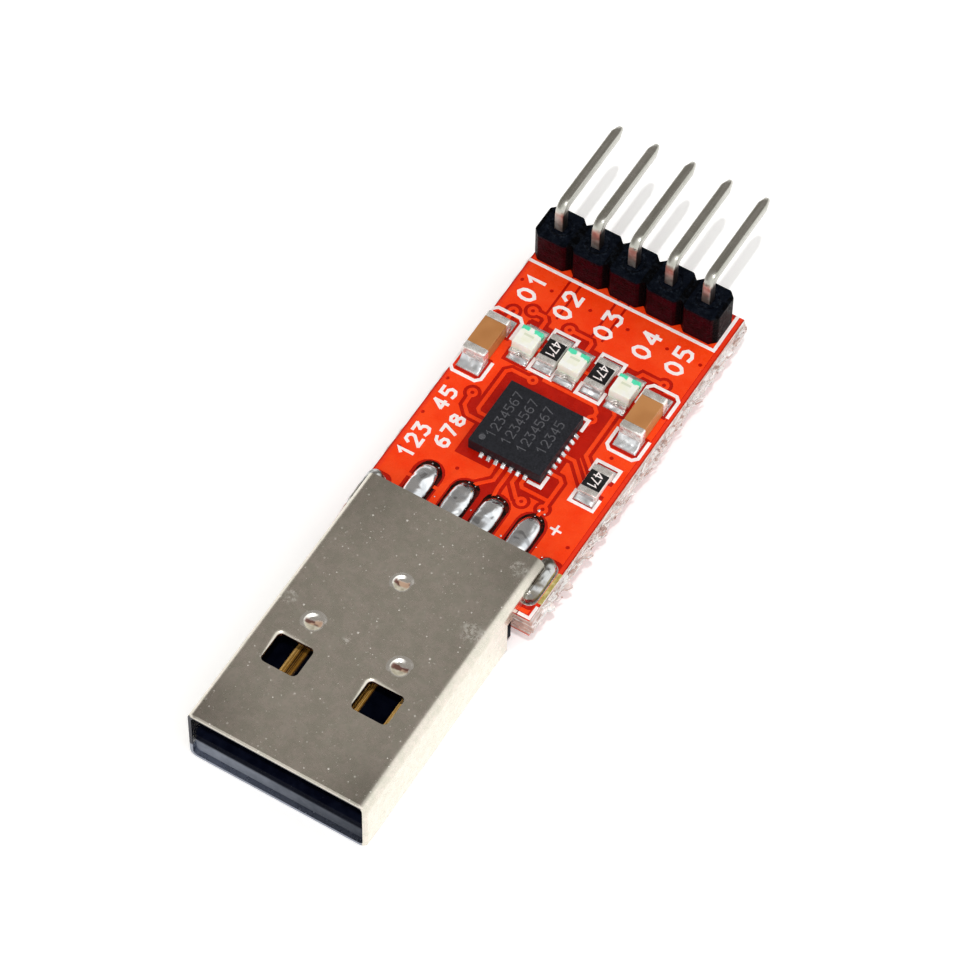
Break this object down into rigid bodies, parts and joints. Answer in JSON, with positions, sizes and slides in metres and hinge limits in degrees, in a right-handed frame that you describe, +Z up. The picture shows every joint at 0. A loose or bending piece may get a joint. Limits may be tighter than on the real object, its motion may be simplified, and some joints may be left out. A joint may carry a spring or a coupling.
{
  "type": "usb to serial adapter module",
  "caption": "Bare red circuit board with a metal USB plug at one end, a square chip, small surface-mount parts and a right-angle pin header at the other end.",
  "frame": {"origin": "middle of the base: under the middle of the overall box, on the surface that the plug's underside rests on", "axes": "+Y from the plug's mouth towards the header pins, +Z up out of the component side, +X across the board"},
  "size_m": [0.0142, 0.0466, 0.0079],
  "materials": {
    "shell_metal": "satin tin-plated sheet steel, lightly scuffed",
    "plug_plastic": "moulded black plastic",
    "contact_gold": "gold-flashed copper alloy",
    "laminate": "glass-fibre laminate, pale cut edges",
    "mask_red_dark": "glossy red solder mask over bare laminate",
    "mask_red_bright": "glossy red solder mask over copper",
    "tinned_pad": "tinned copper",
    "solder": "bright solder",
    "white_ink": "white printing",
    "header_plastic": "moulded black plastic",
    "pin_metal": "tin-plated square brass wire",
    "chip_plastic": "fine matt black moulding compound",
    "ceramic_white": "white ceramic",
    "resistor_coat": "black protective coat",
    "part_ends": "tinned part ends",
    "led_base": "pale laminate carrier",
    "led_lens": "cream translucent resin",
    "capacitor_brown": "brown ceramic"
  },
  "bodies": {
    "root": {"board_laminate": "laminate", "capacitor_1_body": "capacitor_brown", "capacitor_1_ends": "part_ends", "capacitor_2_body": "capacitor_brown", "capacitor_2_ends": "part_ends", "chip_body": "chip_plastic", "chip_lands": "tinned_pad", "chip_solder": "solder", "contact_solder_1": "solder", "contact_solder_2": "solder", "contact_solder_3": "solder", "contact_solder_4": "solder", "copper_pattern_bottom": "mask_red_bright", "copper_pattern_top": "mask_red_bright", "header_body": "header_plastic", "header_pin_1": "pin_metal", "header_pin_2": "pin_metal", "header_pin_3": "pin_metal", "header_pin_4": "pin_metal", "header_pin_5": "pin_metal", "header_solder_1": "solder", "header_solder_2": "solder", "header_solder_3": "solder", "header_solder_4": "solder", "header_solder_5": "solder", "led_1_base": "led_base", "led_1_ends": "part_ends", "led_1_lens": "led_lens", "led_2_base": "led_base", "led_2_ends": "part_ends", "led_2_lens": "led_lens", "led_3_base": "led_base", "led_3_ends": "part_ends", "led_3_lens": "led_lens", "pads_bottom": "tinned_pad", "pads_top": "tinned_pad", "part_solder": "solder", "plug_contact_1": "contact_gold", "plug_contact_2": "contact_gold", "plug_contact_3": "contact_gold", "plug_contact_4": "contact_gold", "plug_insulator": "plug_plastic", "plug_shell": "shell_metal", "resistor_1_body": "ceramic_white", "resistor_1_coat": "resistor_coat", "resistor_1_ends": "part_ends", "resistor_2_body": "ceramic_white", "resistor_2_coat": "resistor_coat", "resistor_2_ends": "part_ends", "resistor_3_body": "ceramic_white", "resistor_3_coat": "resistor_coat", "resistor_3_ends": "part_ends", "silkscreen_top": "white_ink", "solder_mask_bottom": "mask_red_dark", "solder_mask_top": "mask_red_dark", "tab_solder_left": "solder", "tab_solder_right": "solder"}
  },
  "joints": []
}
